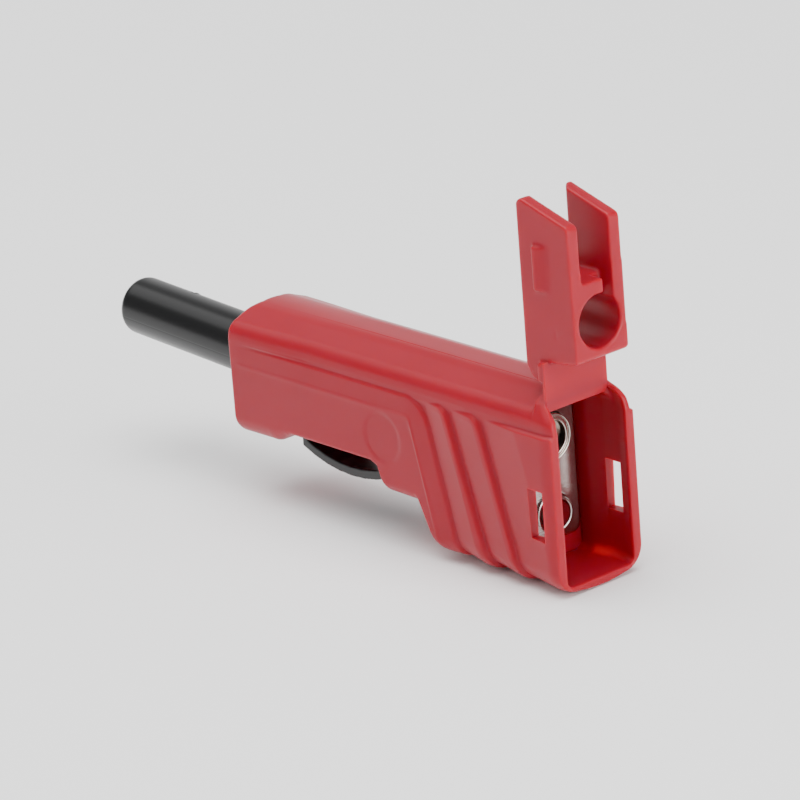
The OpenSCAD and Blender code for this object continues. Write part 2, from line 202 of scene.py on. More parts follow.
def newMaterial(name):
    mat = bpy.data.materials.new(name)
    mat.use_nodes = True
    return mat, mat.node_tree.nodes["Principled BSDF"]


plastic = {"body": "#9e1628", "deep": "#941323", "clouds": 90.0, "ior": 1.31, "roughness": 0.33,
           "under": 0.9, "underReach": (1.0, 0.12, 0.1), "underDepth": 2.2, "grain": 0.12,
           "bump": 0.05, "bumpDepth": 0.02}
blackPlastic = {"colour": "#0c0c0d", "ior": 1.42, "roughness": 0.28}
metals = {"nickelPlatedBrass": {"colour": "#c9c2ba", "roughness": 0.2},
          "brushedNickelSteel": {"colour": "#aaa09c", "roughness": 0.14},
          "springSteelWire": {"colour": "#8e8c8a", "roughness": 0.3},
          "goldPlatedBronze": {"colour": "#d9b25c", "roughness": 0.25}}
brushing = {"across": (400, 400, 9000), "bump": 0.35, "bumpDepth": 0.05}


def redPolyamide(name="redMouldedPolyamide"):
    # unfilled polyamide, injection moulded: deep red with a satin skin, a little light goes under
    mat, bsdf = newMaterial(name)
    link = mat.node_tree.links.new
    place = addNode(mat, "ShaderNodeTexCoord").outputs["Object"]
    cloud = addNode(mat, "ShaderNodeTexNoise", [("Vector", place)], Scale=plastic["clouds"], Detail=3.0)
    tint = addNode(mat, "ShaderNodeMix", [("Factor", cloud.outputs["Fac"])], data_type="RGBA")
    tint.inputs["A"].default_value = linearColour(plastic["body"])
    tint.inputs["B"].default_value = linearColour(plastic["deep"])
    link(tint.outputs["Result"], bsdf.inputs["Base Color"])
    bsdf.inputs["Roughness"].default_value = plastic["roughness"]
    bsdf.inputs["IOR"].default_value = plastic["ior"]
    bsdf.inputs["Subsurface Weight"].default_value = plastic["under"]
    bsdf.inputs["Subsurface Radius"].default_value = plastic["underReach"]
    bsdf.inputs["Subsurface Scale"].default_value = plastic["underDepth"] * mm
    grain = addNode(mat, "ShaderNodeTexNoise", [("Vector", place)],
                    Scale=1 / (plastic["grain"] * mm) / 4, Detail=2.0)
    bump = addNode(mat, "ShaderNodeBump", [("Height", grain.outputs["Fac"])],
                   Strength=plastic["bump"], Distance=plastic["bumpDepth"] * mm)
    link(bump.outputs["Normal"], bsdf.inputs["Normal"])
    return mat


def blackPolyamide(name="blackMouldedPolyamide"):
    # glossy black moulded plastic
    mat, bsdf = newMaterial(name)
    bsdf.inputs["Base Color"].default_value = linearColour(blackPlastic["colour"])
    bsdf.inputs["Roughness"].default_value = blackPlastic["roughness"]
    bsdf.inputs["IOR"].default_value = blackPlastic["ior"]
    return mat


def bareMetal(name):
    # a smooth metal, which mirrors the room in its own colour
    mat, bsdf = newMaterial(name)
    bsdf.inputs["Base Color"].default_value = linearColour(metals[name]["colour"])
    bsdf.inputs["Metallic"].default_value = 1.0
    bsdf.inputs["Roughness"].default_value = metals[name]["roughness"]
    return mat


def brushedNickel(name="brushedNickelSteel"):
    # sheet metal brushed across its width: fine lines that lie along y
    mat = bareMetal(name)
    place = addNode(mat, "ShaderNodeTexCoord").outputs["Object"]
    stretch = addNode(mat, "ShaderNodeMapping", [("Vector", place)], Scale=brushing["across"])
    lines = addNode(mat, "ShaderNodeTexNoise", [("Vector", stretch.outputs["Vector"])], Scale=1.0,
                    Detail=2.0)
    bump = addNode(mat, "ShaderNodeBump", [("Height", lines.outputs["Fac"])],
                   Strength=brushing["bump"], Distance=brushing["bumpDepth"] * mm)
    mat.node_tree.links.new(bump.outputs["Normal"],
                            mat.node_tree.nodes["Principled BSDF"].inputs["Normal"])
    return mat


brushed, steel, gold = brushedNickel(), bareMetal("springSteelWire"), bareMetal("goldPlatedBronze")
red, black, nickel = redPolyamide(), blackPolyamide(), bareMetal("nickelPlatedBrass")
for nodeName, mat in {"housing": red, "cover": red, "hinge_film": red, "safety_sleeve": black,
                      "contact_carrier": black, "release_bow": black, "plug_pin": nickel,
                      "socket_tube": nickel, "socket_contact": nickel, "terminal_plate": nickel,
                      "contact_cage": gold, "return_spring": steel}.items():
    nodes[nodeName].data.materials.clear()
    nodes[nodeName].data.materials.append(mat)
print("finishes done")


# housing: one closed skin, from the sleeve's bore over the outside into the rear opening
shell = {"halfWidth": 7.35, "relief": 0.68, "shoulderZ": 4.2, "shoulderShare": 0.19,
         "shoulderFade": (2.7, 3.5), "grooveZ": 3.45, "panelBevel": 2.65, "bevelShare": 0.45,
         "bendR": 3.2, "ribX": (40.4, 45.55, 51.25), "ribLean": (14.5, 18.0, 17.0),
         "ribRun": (3.8, 5.0, 6.5), "ribStep": 0.5, "fingerZ": 3.25, "fingerR": 1.1,
         "crestSoft": 0.6, "crestShare": 0.15, "refZ": -9.0, "stepFade": (0.5, 20.0),
         "lineHalf": 0.17, "lineDeep": 0.16, "lineRise": 0.12, "lineStart": (1.3, 6.0),
         "lineEnd": (-3.4, -2.2), "creaseShare": 0.12, "creaseHalf": 0.17, "creaseStart": (0.8, 3.0),
         "bandShare": 0.14, "bandStart": (0.8, 4.0), "bandEnd": (5.0, 18.0), "discAt": (29.8, -3.1),
         "discR": 3.3, "discEdge": 0.15, "discDeep": 0.1, "edgeSoft": 0.07,
         "gripZ": -17.1, "gripDraft": 0.0275, "gripCorner": 3.5, "heelX": 42.5, "crownSag": 0.35,
         "collarX": (57.5, 57.85), "crownZ": 8.0, "crownBow": 0.05, "crownFade": (4.0, 26.0),
         "flareY": (2.6, 6.4), "rollY": (4.5, 6.6), "leanZ": 4.0, "sagX": (43.0, 57.0),
         "noseX": (9.0, 9.6), "gripX": (37.0, 40.0), "innerCorner": 1.0, "footZ": (-9.0, -8.93),
         "footCorner": 2.4, "toeX": (6.8, 11.8), "armZ": -6.85, "middleZ": -10.5,
         "pocketZ": -6.3, "pocketX": (10.6, 30.2), "pocketY": 5.3,
         "rearX": 61.1, "lipX": 58.75, "windowX": (56.55, 59.25), "windowZ": (-3.75, -10.35),
         "windowBend": -14.02, "boreR": 3.95, "chamberR": 4.3, "tilt": 2.87, "sideRound": 0.55,
         "topRound": 1.5, "rimRound": 0.3, "rollX": 59.2, "rollIn": 0.4, "floorZ": -16.5,
         "ceilingZ": 5.8, "mouthHalf": 5.9, "rimHalf": 5.65, "deepHalf": 5.5, "backX": 51.6,
         "thinX": (58.3, 59.0), "holeX": 28.5, "holeR": 4.5, "holeZ": (0.0, -1.6)}
reliefGrid = {"x": (-1, 63), "z": (-19, 9), "step": 0.05}  # the spots at which the side is worked out


def pastOutline(above, away, radius):
    # signed distance past a top line and a crest line whose corner has that radius
    return (np.minimum(-radius, np.maximum(above, away))
            + np.hypot(np.maximum(radius + above, 0), np.maximum(radius + away, 0)))


def reliefMap():
    # how far each spot of the side (x, z) stands out, as a share of the full relief: the panel
    # inside its bevel, then ramps that rise slowly towards the rear and drop steeply at each crest
    step = reliefGrid["step"]
    x = np.arange(*reliefGrid["x"], step)[:, None]
    z = np.arange(*reliefGrid["z"], step)[None, :]
    away = [(x - ribX + (z - shell["refZ"]) * np.tan(np.radians(lean))) * np.cos(np.radians(lean))
            for ribX, lean in zip(shell["ribX"], shell["ribLean"])]
    drop = shell["ribStep"]
    above = z - shell["grooveZ"] + 0 * x
    edge = pastOutline(above, away[0], shell["bendR"])
    share = np.interp(edge, [-shell["panelBevel"], 0, drop], [1, 1 - shell["bevelShare"], 0])
    crease = np.exp(-((edge + shell["panelBevel"]) / shell["creaseHalf"]) ** 2)
    crease = crease * smooth(x, *shell["creaseStart"])
    band = np.interp(edge, [-shell["panelBevel"], -0.1, 0.1], [0, 1, 0])
    band = band * smooth(x, *shell["bandStart"]) * (1 - smooth(x, *shell["bandEnd"]))
    for k in (1, 2):
        ramp = np.clip((away[k - 1] - drop) / shell["ribRun"][k - 1], 0, 1)
        edge = pastOutline(z - shell["fingerZ"] + 0 * x, away[k], shell["fingerR"])
        crest = np.interp(edge, [-shell["crestSoft"], 0, drop], [1, 1 - shell["crestShare"], 0])
        share = np.maximum(share, ramp * crest)
    ramp = np.clip((away[2] - drop) / shell["ribRun"][2], 0, 1)
    share = np.maximum(share, ramp * np.interp(above, [-0.15, 0.2], [1, 0]))
    # towards the front the step fades and the shoulder comes out flush with the panel. A fine
    # groove, a shallow band and a crease below it stay between them.
    share = 1 + (share - 1) * smooth(x, *shell["stepFade"])
    groove = np.exp(-((z - shell["grooveZ"] - shell["lineRise"]) / shell["lineHalf"]) ** 2) + 0 * x
    groove = groove * smooth(x, *shell["lineStart"]) * (1 - smooth(away[0], *shell["lineEnd"]))
    share = share - shell["lineDeep"] / shell["relief"] * groove
    share = share + shell["creaseShare"] * crease - shell["bandShare"] * band
    disc = np.hypot(x - shell["discAt"][0], z - shell["discAt"][1])
    sunk = 1 - smooth(disc, shell["discR"] - shell["discEdge"], shell["discR"] + shell["discEdge"])
    share = share - shell["discDeep"] / shell["relief"] * sunk
    # the shoulder above the panel lies less deep than the foot of a rib
    share = np.maximum(share, shell["shoulderShare"] * smooth(z + 0 * x, *shell["shoulderFade"]))
    soft = shell["edgeSoft"] / step
    reach = int(3 * soft) + 1
    weights = np.exp(-0.5 * (np.arange(-reach, reach + 1) / soft) ** 2)
    weights /= weights.sum()
    for axis in (0, 1):
        padded = np.pad(share, [(reach, reach) if a == axis else (0, 0) for a in (0, 1)], "edge")
        size = share.shape[axis]
        share = sum(w * np.take(padded, np.arange(k, k + size), axis) for k, w in enumerate(weights))
    return share


sideRelief = reliefMap()


def reliefAt(x, z):
    # the map read between its points
    u = np.clip((x - reliefGrid["x"][0]) / reliefGrid["step"], 0, sideRelief.shape[0] - 1.001)
    v = np.clip((z - reliefGrid["z"][0]) / reliefGrid["step"], 0, sideRelief.shape[1] - 1.001)
    i, j = u.astype(int), v.astype(int)
    u, v = u - i, v - j
    return ((1 - u) * (1 - v) * sideRelief[i, j] + u * (1 - v) * sideRelief[i + 1, j]
            + (1 - u) * v * sideRelief[i, j + 1] + u * v * sideRelief[i + 1, j + 1])


def underZ(x):
    # the underside of the grip, which sinks towards the rear
    return shell["gripZ"] - shell["gripDraft"] * (x - shell["heelX"])


def bottomPath():
    # stations along the underside: (x on top, x below, z at the lower corners, corner radius)
    stretches = []

    def add(points, count, tops, corners):
        low = spread(points, count + 1)[:-1]
        share = np.linspace(0, 1, count + 1)[:-1]
        top = low[:, 0] if tops is None else tops[0] + (tops[1] - tops[0]) * share
        stretches.append(np.stack([top, low[:, 0], low[:, 1],
                                   corners[0] + (corners[1] - corners[0]) * share], 1))

    def grip(x0, x1, count, tops, corners=(shell["gripCorner"],) * 2):
        add([[x0, underZ(x0)], [x1, underZ(x1)]], count, tops, corners)

    p0, p1 = shell["pocketX"]
    arm = shell["armZ"]
    w0, w1 = shell["windowX"]
    low, bottom = shell["footZ"]
    middleZ, gripCorner, footCorner = shell["middleZ"], shell["gripCorner"], shell["footCorner"]
    add(arcPoints(1.1, low + 1.1, 1.1, 180, 270), noseSteps, None, (2.2, footCorner))
    # the foot below the nose rises in an S to the arms beside the pocket
    toe0, toe1 = shell["toeX"]
    middle = (toe0 + p0) / 2

    def toe(x0, x1):
        x = np.linspace(x0, x1, 9)
        return np.stack([x, bottom + (arm - bottom) * smooth(x, toe0, toe1)], 1)

    add([[1.1, low], [toe0, bottom]], 18, None, (footCorner, footCorner))
    add(toe(toe0, middle), 9, None, (footCorner, 1.7))
    add(toe(middle, p0 - 0.01), 9, None, (1.7, 0.8))
    add(toe(p0 - 0.01, p0 + 0.01)[[0, -1]], 1, None, (0.8, 0.8))
    add(toe(p0 + 0.01, toe1), 5, None, (0.8, 0.6))
    add([[toe1, arm], [26.9, arm]], 44, None, (0.6, 0.6))
    add(np.concatenate([[[26.9, arm], [28.3, arm - 0.8]], arcPoints(p1, -9.1, 1.4, -170, -91)]), 22,
        None, (0.6, 1.6))
    add([[p1 - 0.01, middleZ], [p1 + 0.01, middleZ]], 1, None, (1.6, 1.6))
    add([[p1 + 0.01, middleZ], [35.3, middleZ]], 14, None, (1.6, 1.4))
    add(np.concatenate([[[35.3, middleZ], [35.75, -10.9], [36.05, -11.5]],
                        arcPoints(39.4, -14.45, 1.8, -162, -104)]), 40, (35.3, 36.2), (1.4, 2.0))
    # along the grip the stations lean with the ribs, so their tops lie further forward
    heel = shell["heelX"]
    add([[38.97, -16.2], [40.6, -16.7], [heel, underZ(heel)]], 9, (36.2, 37.04), (2.0, 3.2))
    grip(heel, 48.2, 44, (37.04, 41.33), (3.2, gripCorner))
    grip(48.2, 53.75, 44, (41.33, 47.28))
    grip(53.75, 54.5, 8, (47.28, 48.3))
    grip(54.5, w0, 26, (48.3, w0))
    grip(w0, w1, windowSteps, (w0, w1))
    end = shell["rearX"] - shell["rimRound"]
    grip(w1, end, rimSteps, (w1, end))
    return np.concatenate(stretches + [np.array([[end, end, underZ(end), gripCorner]])])


# how many points each stretch gets; sideCounts are the rows of the side down to the crease, to
# the window, beside it and below it
topCount, cornerCount, floorCount, noseSteps, windowSteps, rimSteps = 26, 12, 14, 12, 12, 5
sideCounts, creaseRow = (44, 10, 16, 9), 0.225
windowTop, windowLow = ((shell["shoulderZ"] - z) / (shell["shoulderZ"] - shell["windowBend"])
                        for z in shell["windowZ"])
rows = np.concatenate([np.linspace(0, creaseRow, sideCounts[0]),
                       np.linspace(creaseRow, windowTop, sideCounts[1])[1:],
                       np.linspace(windowTop, windowLow, sideCounts[2])[1:],
                       np.linspace(windowLow, 1, sideCounts[3])[1:]])
rowTop = topCount - 1 + sideCounts[0] - 1 + sideCounts[1] - 1
rowLow = rowTop + sideCounts[2] - 1


def crownOutline():
    # right half of the top: the flat, its edge line and slope, and the shoulder down to the side
    z = shell["crownZ"]
    flat = [[0, z], [0.8, z], [1.5, z], [1.62, 7.99], [1.7, 7.945], [1.8, 7.955], [2.4, 7.77]]
    shoulder = np.concatenate([[[3.0, 7.55]], arcPoints(4.35, 4.2, 2.45, 72, 20, 24), [[6.8, 4.2]]])
    return np.concatenate([flat, spread(shoulder, topCount - len(flat))])


def halfSection(stations):
    # right half of each station's outline, from the top's middle over the side to the bottom's
    top, below, low, corner = (stations[:, k:k + 1] for k in range(4))
    crown = crownOutline()
    collar = spread([[0, 8.25], [3.2, 8.25], [4.5, 7.6], [5.5, 7.05], [6.3, 6.0], [6.7, 4.9],
                     [6.8, 4.2]], topCount)
    onCollar = smooth(top, *shell["collarX"])
    rollTop = shell["rollIn"] * np.clip(
        (top - shell["rollX"]) / (shell["rearX"] - shell["rollX"]), 0, 1) ** 2
    # the flat on top and its edge line run out towards the rounded front
    rounded = np.where(crown[:, 0] < 3.0, shell["crownZ"] - shell["crownBow"] * crown[:, 0] ** 2,
                       crown[:, 1])
    zCrown = rounded + (crown[:, 1] - rounded) * smooth(top, *shell["crownFade"])
    yTop = crown[:, 0] * (1 - onCollar) + collar[:, 0] * onCollar
    zTop = zCrown * (1 - onCollar) + collar[:, 1] * onCollar
    half = shell["halfWidth"]
    flare = shell["relief"] * (reliefAt(top, 0 * top + shell["shoulderZ"])
                               - shell["shoulderShare"])
    yTop = yTop + flare * (1 - onCollar) * smooth(yTop, *shell["flareY"])
    yTop = yTop - rollTop * smooth(yTop, *shell["rollY"])
    bend = low + corner
    zSide = shell["shoulderZ"] + (bend - shell["shoulderZ"]) * rows[1:]
    turn = np.radians(np.linspace(0, 90, cornerCount))[1:]
    zCorner = bend - corner * np.sin(turn)
    yFloor = np.concatenate([np.minimum(half - corner - 0.02, shell["pocketY"] + 0.02),
                             np.minimum(half - corner - 0.04, shell["pocketY"])], 1)
    yFloor = np.concatenate([yFloor, yFloor[:, 1:] * np.linspace(1, 0, floorCount - 1)[1:]], 1)
    sag = shell["crownSag"] * smooth(below, *shell["sagX"]) * (1 - (yFloor / (half - corner)) ** 2)
    zAll = np.concatenate([zTop + 0 * low, zSide, zCorner, low - sag], 1)
    lean = np.clip((shell["leanZ"] - zAll) / (shell["leanZ"] - low), 0, 1)
    xAll = top + (below - top) * lean
    sink = shell["relief"] * (1 - reliefAt(xAll, zAll))
    # the wall rolls in towards its rear end
    roll = shell["rollIn"] * np.clip((xAll - shell["rollX"]) / (shell["rearX"] - shell["rollX"]), 0,
                                     1) ** 2
    sink = sink + roll
    sides = slice(topCount, topCount + len(rows) - 1)
    corners = slice(topCount + len(rows) - 1, -floorCount)
    onGrip = smooth(xAll[:, -1:], *shell["gripX"])
    onFront = 1 - smooth(xAll[:, -1:], *shell["noseX"])
    cornerSink = sink[:, corners] * (1 - (1 - onGrip) * (1 - onFront) * np.sin(turn))
    yAll = np.concatenate([yTop + 0 * low, half - sink[:, sides],
                           half - corner + (corner - cornerSink) * np.cos(turn), yFloor], 1)
    zAll[:, corners] += cornerSink * np.sin(turn)
    zAll[:, -floorCount:] += sink[:, -floorCount:] * onGrip
    xFloor = xAll[:, -floorCount:]
    # the pocket gets a flat roof; the room that the solid has for the bow's toes is left out here
    inPocket = ((xFloor > shell["pocketX"][0]) & (xFloor < shell["pocketX"][1])
                & (yFloor <= shell["pocketY"] + 1e-6))
    zAll[:, -floorCount:] = np.where(inPocket, shell["pocketZ"], zAll[:, -floorCount:])
    return np.stack([xAll, yAll, zAll], -1)


def innerSection(x, halfWidth):
    # right half of the chamber's outline at each x, with the same rows as the outside: drawn at
    # the mouth's half width, then made narrower or wider in y
    half, corner = shell["mouthHalf"], shell["innerCorner"]
    ceiling, shoulder, floor = shell["ceilingZ"], shell["shoulderZ"], shell["floorZ"]
    bend = floor + corner
    crown = spread([[0, ceiling], [4.4, ceiling], [5.0, 5.5], [5.6, 4.9], [half, shoulder]], topCount)
    # beside the notch that takes the closed cover's strap, the wall is thinner
    t, knots = np.linspace(0, 1, topCount), [0, 0.6, 0.644, 0.79, 0.92, 1]
    ear = np.stack([np.interp(t, knots, [0, 4.9, 5.38, 5.6, 5.82, half]),
                    np.interp(t, knots, [ceiling, ceiling, 6.5, 5.75, 4.85, shoulder])], 1)
    z = np.interp(rows[1:], [0, windowTop, windowLow, 1],
                  [shoulder, shell["windowZ"][0], shell["windowZ"][1], bend])
    turn = spread(arcPoints(half - corner, bend, corner, 0, -90), cornerCount)[1:]
    across = np.stack([np.linspace(4.88, 0, floorCount), np.full(floorCount, floor)], 1)
    outline = np.concatenate([crown, np.stack([np.full(len(z), half), z], 1), turn, across])
    x, halfWidth = np.atleast_1d(x)[:, None], np.atleast_1d(halfWidth)[:, None]
    thin = np.concatenate([ear - crown, np.zeros((len(outline) - topCount, 2))])
    thin = thin * smooth(x, *shell["thinX"])[..., None]
    y = (outline[:, 0] + thin[..., 0]) * halfWidth / half
    return np.stack([x + 0 * y, y, outline[:, 1] + thin[..., 1]], -1)


def inwards(section):
    # unit vectors into the wall, square to a half outline in its own plane
    along = np.gradient(section[:, 1:], axis=0)
    normal = np.stack([along[:, 1], -along[:, 0]], 1)
    normal /= np.linalg.norm(normal, axis=1, keepdims=True) + 1e-12
    normal[0], normal[-1] = (0, -1), (0, 1)
    return np.concatenate([np.zeros((len(normal), 1)), normal], 1)


def carrierHole(x, angle, radius):
    # the slot shape that the carrier sits in, met by rays from its middle at those angles
    middle = sum(shell["holeZ"]) / 2
    half = (shell["holeZ"][0] - shell["holeZ"][1]) / 2
    side = radius / np.maximum(np.abs(np.cos(angle)), 1e-9)
    end = half * np.abs(np.sin(angle)) + np.sqrt(radius ** 2 - (half * np.cos(angle)) ** 2)
    reach = np.where(side * np.abs(np.sin(angle)) <= half, side, end)
    return np.stack([np.full(len(angle), x), reach * np.cos(angle),
                     middle + reach * np.sin(angle)], 1)


def frontRings(first):
    # the sleeve's bore, from the hole of the carrier forward and out over the front face
    angle = np.arctan2(first[:, 2], first[:, 1])
    drop = np.tan(np.radians(shell["tilt"]))
    wide, narrow = shell["chamberR"], shell["boreR"]

    def ring(x, radius):
        return np.stack([np.full(len(angle), x), radius * np.cos(angle),
                         radius * np.sin(angle) - x * drop], 1)

    bore = [ring(x, r) for x, r in ((shell["holeX"], wide), (28.4, wide), (4.1, wide),
                                    (4.0, wide - 0.1), (4.0, narrow), (0.15, narrow),
                                    (0.04, narrow + 0.04), (0.0, narrow + 0.15))]
    return bore + [bore[-1] + (first - bore[-1]) * t for t in (0.25, 0.5, 0.75, 0.94)]


def rearRings(last):
    # the rounded rim, the end of the wall, the stepped chamber, its back wall and the carrier's hole
    into = inwards(last)
    radius = np.where((last[:, 1] < 5.3) & (last[:, 2] > 7.0), 0.02, shell["rimRound"])[:, None]
    reach = shell["rimRound"]
    rim = [last + into * radius * (1 - np.cos(a)) + [reach * np.sin(a), 0, 0]
           for a in np.radians([18, 36, 54, 72, 90])]
    mouth = innerSection(shell["rearX"] - 0.25, shell["rimHalf"])[0]
    edge = mouth - inwards(mouth) * 0.2
    edge[:, 0] = shell["rearX"]
    rim += [rim[-1] + (edge - rim[-1]) * t for t in (0.33, 0.66, 1.0)]
    rim.append(edge + (mouth - edge) * [0.3, 0.7, 0.7])
    windows = np.linspace(shell["windowX"][1], shell["windowX"][0], windowSteps + 1)
    x = np.concatenate([[shell["rearX"] - 0.25, 60.3, 59.7], windows,
                        [56.0, 55.5, 55.36, 55.3, 55.2, 55.14, 55.0, 54.0, 53.0, 52.2, 51.8, 51.66,
                         shell["backX"]]])
    wide = np.interp(x, [53.6, 56.5, 59.5, 60.8],
                     [shell["deepHalf"], shell["mouthHalf"], shell["mouthHalf"], shell["rimHalf"]])
    chamber = innerSection(x, wide)
    for k, deep in ((-2, 0.08), (-1, 0.2)):
        chamber[k] = chamber[k] + inwards(chamber[k]) * -deep
    angle = np.arctan2(chamber[-1][:, 2] - sum(shell["holeZ"]) / 2, chamber[-1][:, 1])
    hole = carrierHole(shell["backX"], angle, shell["holeR"] + 0.1)
    back = [chamber[-1] + (hole - chamber[-1]) * t for t in (0.3, 0.65, 1.0)]
    back += [carrierHole(px, angle, shell["holeR"]) for px in (shell["backX"] - 0.1, shell["holeX"])]
    return rim, chamber, back


def housingSkin():
    # rings with the same count of points follow each other from the bore over the front, along the
    # outside, round the rim and through the chamber back to the bore, and quads join them
    outside = halfSection(bottomPath())
    # the front edges are rounded, most on top and not below, where the path itself turns up
    row = np.arange(outside.shape[1])
    radius = shell["topRound"] + (shell["sideRound"] - shell["topRound"]) * smooth(row, 3, 10)
    radius = radius * (1 - smooth(row, topCount + len(rows) - 2, topCount + len(rows) + 9))
    into = inwards(outside[noseSteps])
    short = np.clip(radius - outside[:, :, 0], 0, None)
    draw = radius - np.sqrt(np.clip(radius ** 2 - short ** 2, 0, None))
    outside = outside + into * draw[..., None]
    last = outside[-1]
    front = frontRings(outside[0])
    rim, chamber, back = rearRings(last)
    half = np.concatenate([np.array(front), outside, np.array(rim), chamber, np.array(back)])
    # the wall ends further forward on top, under the hinge, and slopes to the rim beside it
    rear, lip = shell["rearX"], shell["lipX"]
    limit = np.interp(last[:, 2], [3.6, 5.3, 6.4, 7.0], [rear, rear - 0.4, lip + 1.0, lip])
    start = shell["windowX"][0]
    squeeze = (limit - start) / (rear - start)
    half[..., 0] = np.where(half[..., 0] > start, start + (half[..., 0] - start) * squeeze,
                            half[..., 0])
    whole = np.concatenate([half, (half * [1, -1, 1])[:, -2:0:-1]], 1)
    rings, around = whole.shape[:2]
    # the two latch windows: their quads come out of both walls and a reveal joins the rims
    steps = windowSteps
    o0 = len(front) + len(outside) - 1 - rimSteps - steps
    k0 = len(front) + len(outside) + len(rim) + 3
    keep = np.ones((rings, around), bool)
    extra = []
    for a, b in [(rowTop, rowLow), (around - rowLow, around - rowTop)]:
        keep[o0:o0 + steps, a:b] = False
        keep[k0:k0 + steps, a:b] = False
        wide, tall = np.arange(steps), np.arange(a, b)
        outer = np.concatenate([o0 * around + tall, (o0 + wide) * around + b,
                                (o0 + steps) * around + tall[::-1] + 1,
                                (o0 + steps - wide) * around + a])
        inner = np.concatenate([(k0 + steps) * around + tall, (k0 + steps - wide) * around + b,
                                k0 * around + tall[::-1] + 1, (k0 + wide) * around + a])
        extra += np.stack([outer, inner, np.roll(inner, -1), np.roll(outer, -1)], 1).tolist()
    faces = ringFaces(rings, around, close=False, keep=keep, loop=True) + extra
    return putMesh("housingShell", whole.reshape(-1, 3), faces, red, "body",
                   ["housing"], sharp=35.0)


housingSkin()
print("housing skin done")

# rear cover: two flanges and the bored block between them, moulded in one
cover = {"voxel": 0.15, "passes": 26, "gateMark": ((60.3, -4.6, 15.3), (60.6, -4.2, 16.7)),
         "strapFoot": ((57.0, -5.5, 8.8), (58.35, 5.5, 9.6))}  # cut back, clear of the closed wall
mouldedCopy("cover", "stackingCover", red, "rear_cover", cover["voxel"],
            cover["passes"], [cover["gateMark"], cover["strapFoot"]])
print("cover done")

# hinge film: the thin web that bends, flush with the strap above and the collar below
film = {"x": (58.3, 58.78), "halfWidth": 5.22, "z": (7.05, 12.2), "bend": (8.25, 9.05), "edge": 0.1}


def hingeFilm():
    # one closed loop with cut corners, repeated at heights that lie close together at the bend
    rows = np.r_[film["z"][0], np.linspace(film["bend"][0] - 0.05, film["bend"][1] + 0.05, 11),
                 film["z"][1]]
    x0, x1 = film["x"]
    half, edge = film["halfWidth"], film["edge"]
    loop = np.array([[x0, -half + edge], [x0 + edge, -half], [x1 - edge, -half], [x1, -half + edge],
                     [x1, half - edge], [x1 - edge, half], [x0 + edge, half], [x0, half - edge]])
    points = np.concatenate([np.c_[loop, np.full(len(loop), z)] for z in rows])
    faces = ringFaces(len(rows), len(loop))
    # it rides on no single body, because it bends between two
    mesh = bpy.data.meshes.new("hingeFilm")
    mesh.from_pydata((points * mm).tolist(), [], faces)
    mesh.polygons.foreach_set("use_smooth", np.ones(len(mesh.polygons), bool))
    mesh.set_sharp_from_angle(angle=np.radians(40))
    mesh.materials.append(red)
    obj = bpy.data.objects.new("hingeFilm", mesh)
    bpy.context.scene.collection.objects.link(obj)
    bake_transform(obj)
    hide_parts("hinge_film")


hingeFilm()
print("hinge film done")

# safety sleeve: turned tube with a rounded end, a mould parting line and a gate mark
sleeve = {"out": 27.5, "radius": 3.9, "bore": 2.8, "neck": 3.7, "landX": -0.35, "flangeX": 4.3,
          "flangeR": 4.15, "inX": 6.0, "endR": 1.25, "lineDeep": 0.02, "lineHalf": 0.018,
          "lineTurn": 1.71, "gateX": -18.0, "gateTurn": -0.46, "gateDeep": 0.3, "pitHalf": (0.3, 0.35),
          "lipHalf": (0.3, 0.5), "lipOff": 0.7, "lipShare": 0.4}


def sleeveRelief(along, turn):
    # the parting lines at both sides, and the pit with its low lip that the gate left on top
    outer = (along > -sleeve["out"] + 1.2) & (along < sleeve["landX"])
    line = sum(np.exp(-((turn - side) / sleeve["lineHalf"]) ** 2)
               for side in (sleeve["lineTurn"], 2 * np.pi - sleeve["lineTurn"]))
    off = ((turn - sleeve["gateTurn"] + np.pi) % (2 * np.pi) - np.pi) * sleeve["radius"]
    past = along - sleeve["gateX"]

    def bump(length, width, shift):
        return np.exp(-((past - shift) / length) ** 2 - (off / width) ** 2)

    pit = bump(*sleeve["pitHalf"], 0) - bump(*sleeve["lipHalf"], sleeve["lipOff"]) * sleeve["lipShare"]
    return outer * (-sleeve["lineDeep"] * line - sleeve["gateDeep"] * pit)


def safetySleeve():
    # the wall's outline from the bore round the end to the flange, turned about the plug's axis
    out, r, bore, end = (sleeve[k] for k in ("out", "radius", "bore", "endR"))
    inX, flangeX, flangeR, neck = (sleeve[k] for k in ("inX", "flangeX", "flangeR", "neck"))
    profile = np.concatenate([
        [[inX, bore], [-out + 0.25, bore], [-out + 0.07, bore + 0.07], [-out, bore + 0.25]],
        [[-out, r - end - 0.02]], arcPoints(-out + end, r - end, end, 180, 90, 12),
        np.c_[np.linspace(-out + end + 0.3, -19.5, 12), np.full(12, r)],
        np.c_[np.linspace(-19.3, -16.5, 29), np.full(29, r)],
        np.c_[np.linspace(-16, sleeve["landX"] - 0.02, 16), np.full(16, r)],
        [[sleeve["landX"], r], [sleeve["landX"] + 0.2, neck], [flangeX, neck],
         [flangeX + 0.01, flangeR], [inX - 0.2, flangeR], [inX, flangeR - 0.2]]])
    turnedPiece("safetySleeve", profile, 360, black, "sleeve", ["safety_sleeve"],
                tilt=shell["tilt"], relief=sleeveRelief)


safetySleeve()

# release bow: its own solid with slightly rounded edges
bow = {"voxel": 0.12, "passes": 4}
mouldedCopy("release_bow", "releaseBow", black, "bow", bow["voxel"], bow["passes"])
print("sleeve and bow done")

# stacking tube: drawn brass, nickelled, its mouth rolled with two fine rims
tube = {"x": (33.0, 53.7), "r": 3.15, "wall": 0.55, "floor": 1.5, "rim": 0.13, "mouthR": 2.25}


